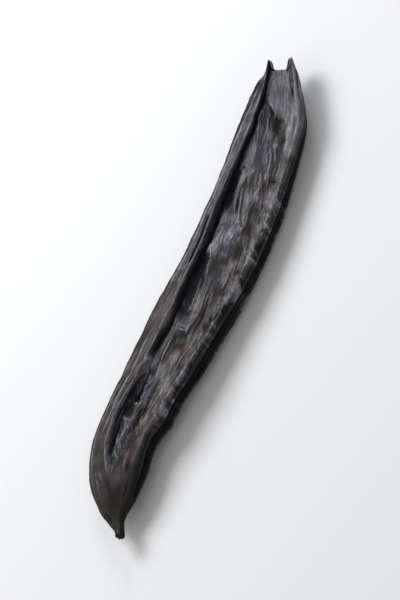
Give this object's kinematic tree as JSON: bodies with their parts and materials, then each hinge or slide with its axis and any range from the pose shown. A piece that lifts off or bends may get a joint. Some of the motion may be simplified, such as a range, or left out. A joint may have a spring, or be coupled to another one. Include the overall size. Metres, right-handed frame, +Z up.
{
  "type": "carob pod",
  "caption": "Dried carob pod: long, flat and gently S-curved, with raised rims, a sunken wrinkled face and a short stalk stub, lying on its broad side.",
  "frame": {"origin": "under the middle of the pod's box, on the surface that it lies on", "axes": "+Y along the pod from the stalk stub to the far end, +Z up out of the broad face that shows, +X to the side of the shaded margin"},
  "size_m": [0.042, 0.1724, 0.0136],
  "materials": {
    "pod": "satin, leathery and wrinkled dried skin"
  },
  "bodies": {
    "root": {"carob_pod": "pod"}
  },
  "joints": []
}
